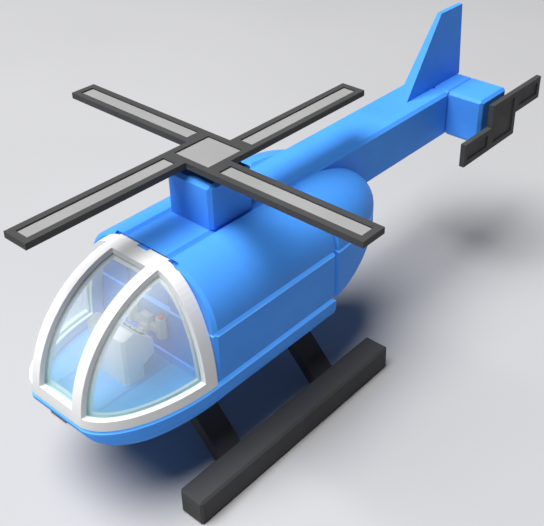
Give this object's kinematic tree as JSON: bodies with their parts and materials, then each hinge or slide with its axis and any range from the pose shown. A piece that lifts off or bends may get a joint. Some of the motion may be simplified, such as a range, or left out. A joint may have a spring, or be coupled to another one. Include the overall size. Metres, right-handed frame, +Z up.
{
  "type": "toy helicopter",
  "caption": "Chunky block-built toy helicopter with a hinged bubble canopy, spinning main and tail rotors, a turning control yoke and slab skids.",
  "frame": {"origin": "on the ground under the middle of the bounding box", "axes": "+X to the port side (the tail rotor's side), +Y aft along the boom, +Z up; the nose points along -Y"},
  "size_m": [0.175, 0.3, 0.1388],
  "materials": {
    "blue_plastic": "moulded blue plastic, satin gloss",
    "dark_plastic": "moulded dark grey plastic, fine texture",
    "grey_panel": "light grey inlaid panels, matte",
    "white_frame": "white moulded plastic, gloss",
    "window_clear": "clear plastic pane with a pale blue tint",
    "cabin_grey": "pale grey moulded plastic",
    "red_button": "red moulded plastic, gloss",
    "steel": "zinc plated steel",
    "brass": "turned brass"
  },
  "bodies": {
    "airframe": {"nose_tub": "blue_plastic", "cockpit_floor": "blue_plastic", "cabin_block": "blue_plastic", "belly_tray": "blue_plastic", "spine_boom": "blue_plastic", "shoulder_port": "blue_plastic", "shoulder_starboard": "blue_plastic", "rear_dome_port": "blue_plastic", "rear_dome_starboard": "blue_plastic", "tail_keel": "blue_plastic", "tail_end_block": "blue_plastic", "tail_fin": "blue_plastic", "mast_block": "blue_plastic", "tail_rotor_block": "blue_plastic", "skid_port": "dark_plastic", "skid_starboard": "dark_plastic", "strut_front_port": "dark_plastic", "strut_front_starboard": "dark_plastic", "strut_rear_port": "dark_plastic", "strut_rear_starboard": "dark_plastic", "belly_screws": "steel", "strut_screws": "steel", "nose_screws": "steel", "roof_screws": "steel", "keel_screws": "steel", "mast_screws": "steel", "tail_block_screws": "steel", "canopy_hinge_pin": "steel", "console": "cabin_grey", "console_keys": "dark_plastic", "rotor_bush": "brass", "tail_rotor_bush": "brass"},
    "canopy": {"canopy_frame": "white_frame", "windscreen": "window_clear", "side_window_port": "window_clear", "side_window_starboard": "window_clear"},
    "main_rotor": {"main_rotor_frame": "dark_plastic", "hub_panel": "grey_panel", "blade_panel_front": "grey_panel", "blade_panel_port": "grey_panel", "blade_panel_aft": "grey_panel", "blade_panel_starboard": "grey_panel", "rotor_shaft": "steel", "rotor_clip": "steel"},
    "tail_rotor_assembly": {"tail_rotor": "dark_plastic", "tail_rotor_shaft": "steel", "tail_rotor_clip": "steel"},
    "yoke": {"control_yoke": "cabin_grey", "yoke_clip": "steel", "grip_port": "cabin_grey", "grip_starboard": "cabin_grey", "grip_button_port": "red_button", "grip_button_starboard": "red_button"}
  },
  "joints": [
    {"name": "main_rotor_spin", "type": "hinge", "parent": "airframe", "child": "main_rotor", "pos_m": [0, -0.0625, 0.12], "axis": [0, 0, 1], "continuous": true},
    {"name": "tail_rotor_spin", "type": "hinge", "parent": "airframe", "child": "tail_rotor_assembly", "pos_m": [0.0325, 0.1125, 0.0875], "axis": [1, 0, 0], "continuous": true},
    {"name": "canopy_hinge", "type": "hinge", "parent": "airframe", "child": "canopy", "pos_m": [0, -0.1, 0.0984], "axis": [-1, 0, 0], "range_deg": [0, 50]},
    {"name": "yoke_turn", "type": "hinge", "parent": "airframe", "child": "yoke", "pos_m": [0, -0.1025, 0.0626], "axis": [0, 1, 0], "range_deg": [-25, 25]}
  ]
}
